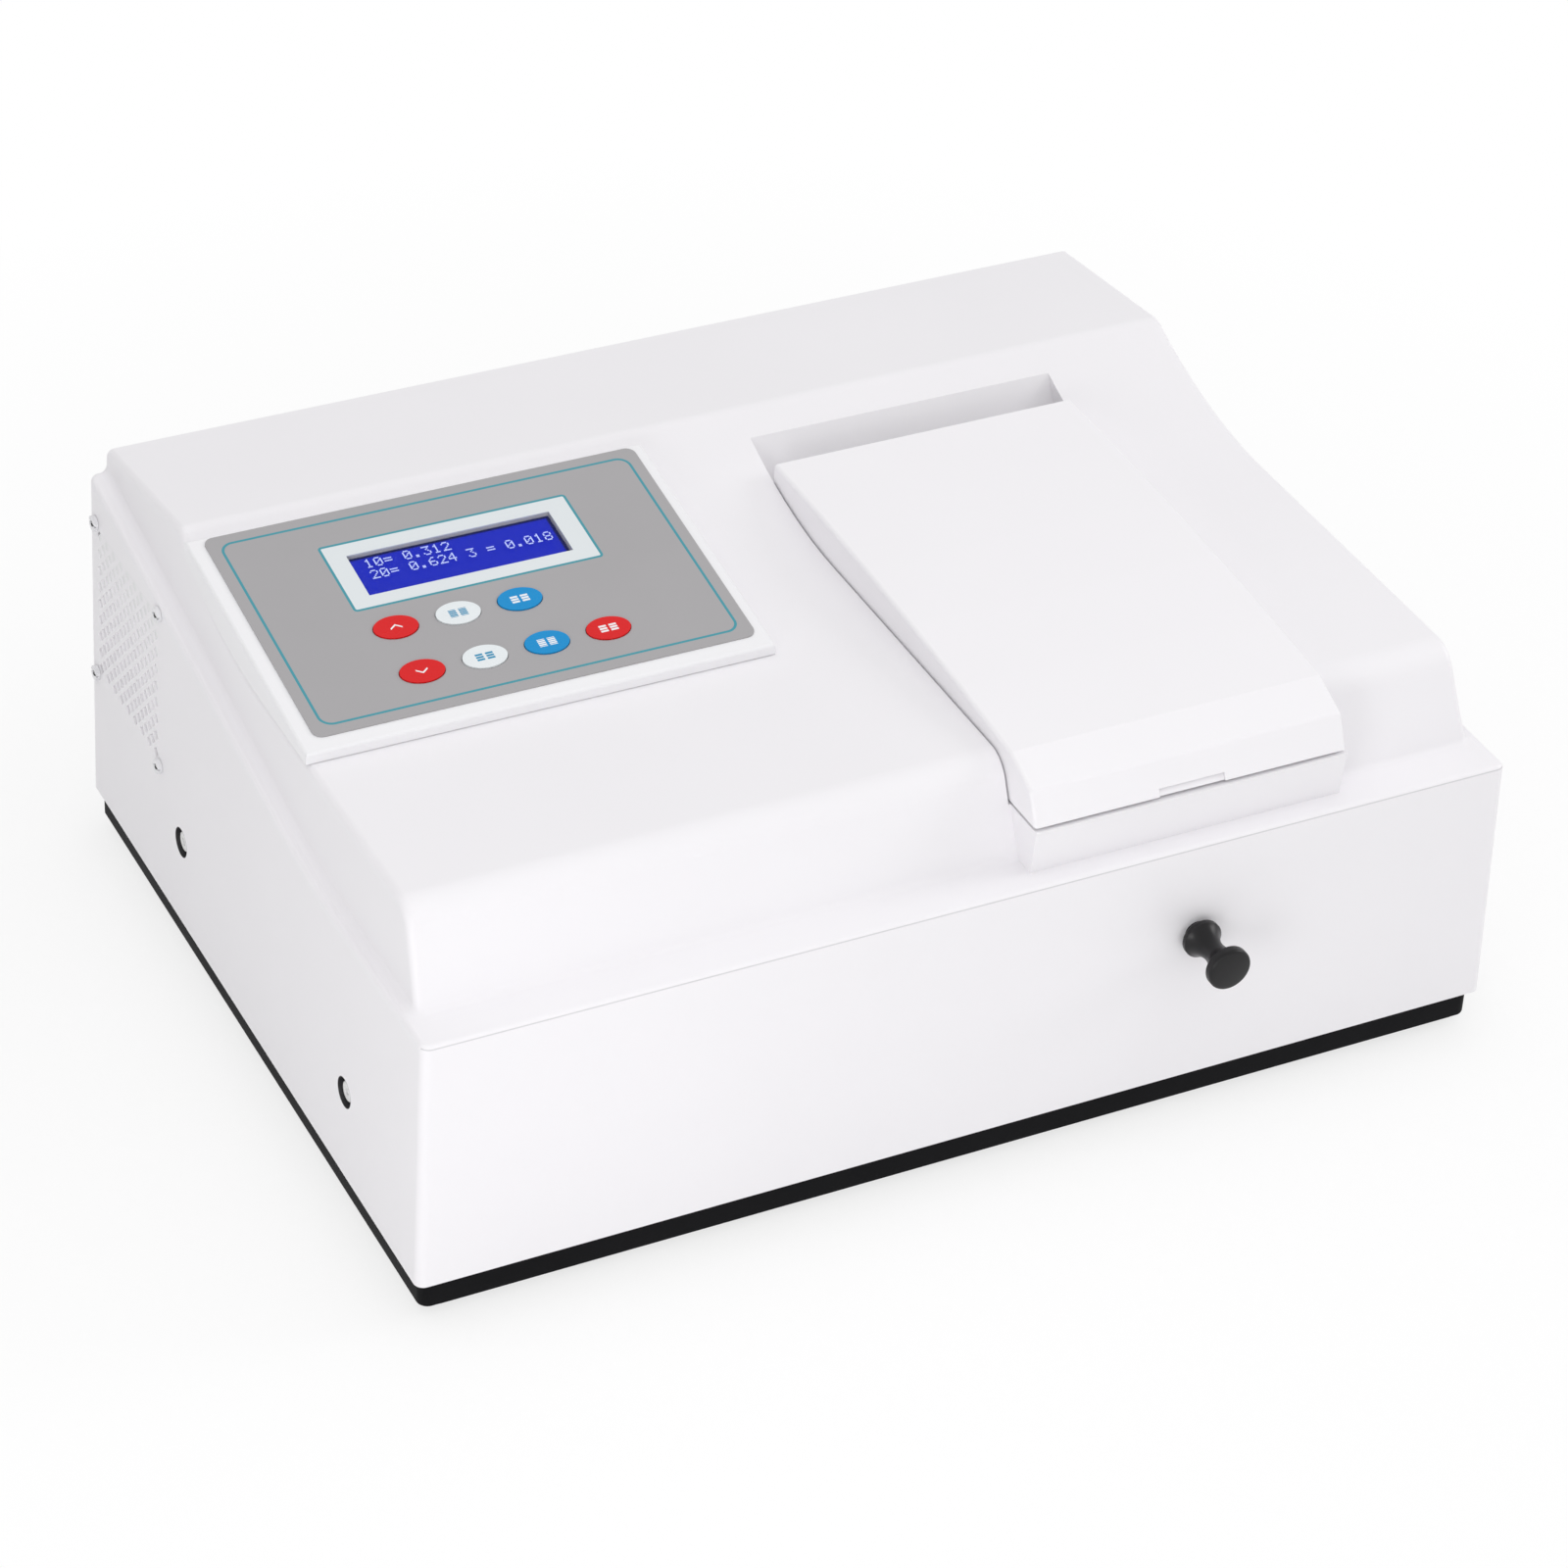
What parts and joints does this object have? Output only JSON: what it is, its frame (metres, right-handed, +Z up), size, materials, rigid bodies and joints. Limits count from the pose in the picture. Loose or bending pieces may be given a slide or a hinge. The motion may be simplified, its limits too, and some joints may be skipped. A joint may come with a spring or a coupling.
{
  "type": "uv spectrophotometer",
  "caption": "Bench spectrophotometer with a tilted keypad, a hinged lid over its sample chamber, a pull rod that slides the cell rack, and optics, lamps and a fan inside.",
  "frame": {"origin": "on the bench, under the middle of the white cover", "axes": "+X to the operator's right, +Y to the rear, +Z up"},
  "size_m": [0.4605, 0.3774, 0.188],
  "materials": {
    "cover_white": "fine satin paint",
    "base_black": "black paint on a casting",
    "rubber_black": "matte",
    "screw_steel": "plain",
    "sheet_zinc": "zinc-plated sheet",
    "chamber_black": "black anodised",
    "rack_black": "black anodised",
    "rod_chrome": "polished",
    "knob_black": "satin",
    "bush_nylon": "plain",
    "bezel_white": "satin",
    "overlay_grey": "fine matte film",
    "key_red": "domed film",
    "key_blue": "domed film",
    "key_pale": "domed film",
    "display_clear": "clear",
    "display_blue": "lit blue",
    "board_green": "solder mask",
    "casting_grey": "cast, black inside",
    "mirror_face": "first-surface",
    "motor_black": "black case",
    "ceramic": "glazed ceramic",
    "lamp_glass": "clear quartz",
    "grating_glass": "ruled",
    "transformer_iron": "laminations and tape",
    "fan_black": "plain",
    "inlet_black": "plain"
  },
  "bodies": {
    "case": {"top_cover": "cover_white", "base_plate": "base_black", "rubber_feet": "rubber_black", "foot_screws": "screw_steel", "cover_brackets": "sheet_zinc", "cover_screws": "screw_steel", "hinge_posts": "cover_white", "lid_hinge_pins": "screw_steel", "sample_chamber": "chamber_black", "chamber_seal": "rubber_black", "rod_bush": "bush_nylon", "guide_rails": "rod_chrome", "keypad_bezel": "bezel_white", "keypad_overlay": "overlay_grey", "keypad_board": "board_green", "display_window": "display_clear", "display_module": "display_blue", "monochromator_housing": "casting_grey", "monochromator_cover": "casting_grey", "pan_head_screws": "screw_steel", "slit_plates": "sheet_zinc", "collimating_mirror": "mirror_face", "focusing_mirror": "mirror_face", "mirror_mounts": "casting_grey", "grating_motor": "motor_black", "beam_tubes": "chamber_black", "lamp_house": "sheet_zinc", "lamp_house_cover": "sheet_zinc", "lamp_sockets": "ceramic", "tungsten_lamp": "lamp_glass", "deuterium_lamp": "lamp_glass", "mirror_motor": "motor_black", "detector_housing": "chamber_black", "detector_board": "board_green", "main_board": "board_green", "power_board": "board_green", "board_spacers": "screw_steel", "mains_transformer": "transformer_iron", "fan_frame": "fan_black", "fan_screws": "screw_steel", "rear_panel": "sheet_zinc", "mains_inlet": "inlet_black", "power_switch": "inlet_black"},
    "lid": {"sample_lid": "cover_white", "lid_seal": "rubber_black"},
    "rack": {"cell_rack": "rack_black", "pull_rod": "rod_chrome", "pull_knob": "knob_black"},
    "fan_wheel": {"fan_rotor": "fan_black"},
    "grating_turntable": {"grating_table": "casting_grey", "grating": "grating_glass"},
    "lamp_mirror": {"source_mirror": "mirror_face"},
    "switch_rocker": {"power_rocker": "inlet_black"},
    "key_up_button": {"key_up": "key_red"},
    "key_a_button": {"key_a": "key_pale"},
    "key_b_button": {"key_b": "key_blue"},
    "key_down_button": {"key_down": "key_red"},
    "key_c_button": {"key_c": "key_pale"},
    "key_d_button": {"key_d": "key_blue"},
    "key_e_button": {"key_e": "key_red"}
  },
  "joints": [
    {"name": "lid_hinge", "type": "hinge", "parent": "case", "child": "lid", "pos_m": [0.0895, 0.052, 0.1685], "axis": [-1, 0, 0], "range_deg": [0, 95]},
    {"name": "rack_slide", "type": "slide", "parent": "case", "child": "rack", "axis": [0, -1, 0], "range_m": [0, 0.06]},
    {"name": "fan_spin", "type": "hinge", "parent": "case", "child": "fan_wheel", "pos_m": [-0.2026, 0.1293, 0.114], "axis": [1, 0, 0], "continuous": true},
    {"name": "grating_turn", "type": "hinge", "parent": "case", "child": "grating_turntable", "pos_m": [-0.008, 0.034, 0.09], "axis": [0, 0, 1], "range_deg": [0, 43]},
    {"name": "lamp_mirror_turn", "type": "hinge", "parent": "case", "child": "lamp_mirror", "pos_m": [-0.09, 0.127, 0.09], "axis": [0, 0, -1], "range_deg": [0, 13.5]},
    {"name": "rocker_tilt", "type": "hinge", "parent": "case", "child": "switch_rocker", "pos_m": [0.152, 0.1696, 0.051], "axis": [-1, 0, 0], "range_deg": [0, 18]},
    {"name": "key_up_press", "type": "slide", "parent": "case", "child": "key_up_button", "axis": [0, 0.153, -0.9882], "range_m": [0, 0.0005], "stiffness_N_per_m": 800},
    {"name": "key_a_press", "type": "slide", "parent": "case", "child": "key_a_button", "axis": [0, 0.153, -0.9882], "range_m": [0, 0.0005], "stiffness_N_per_m": 800},
    {"name": "key_b_press", "type": "slide", "parent": "case", "child": "key_b_button", "axis": [0, 0.153, -0.9882], "range_m": [0, 0.0005], "stiffness_N_per_m": 800},
    {"name": "key_down_press", "type": "slide", "parent": "case", "child": "key_down_button", "axis": [0, 0.153, -0.9882], "range_m": [0, 0.0005], "stiffness_N_per_m": 800},
    {"name": "key_c_press", "type": "slide", "parent": "case", "child": "key_c_button", "axis": [0, 0.153, -0.9882], "range_m": [0, 0.0005], "stiffness_N_per_m": 800},
    {"name": "key_d_press", "type": "slide", "parent": "case", "child": "key_d_button", "axis": [0, 0.153, -0.9882], "range_m": [0, 0.0005], "stiffness_N_per_m": 800},
    {"name": "key_e_press", "type": "slide", "parent": "case", "child": "key_e_button", "axis": [0, 0.153, -0.9882], "range_m": [0, 0.0005], "stiffness_N_per_m": 800}
  ]
}
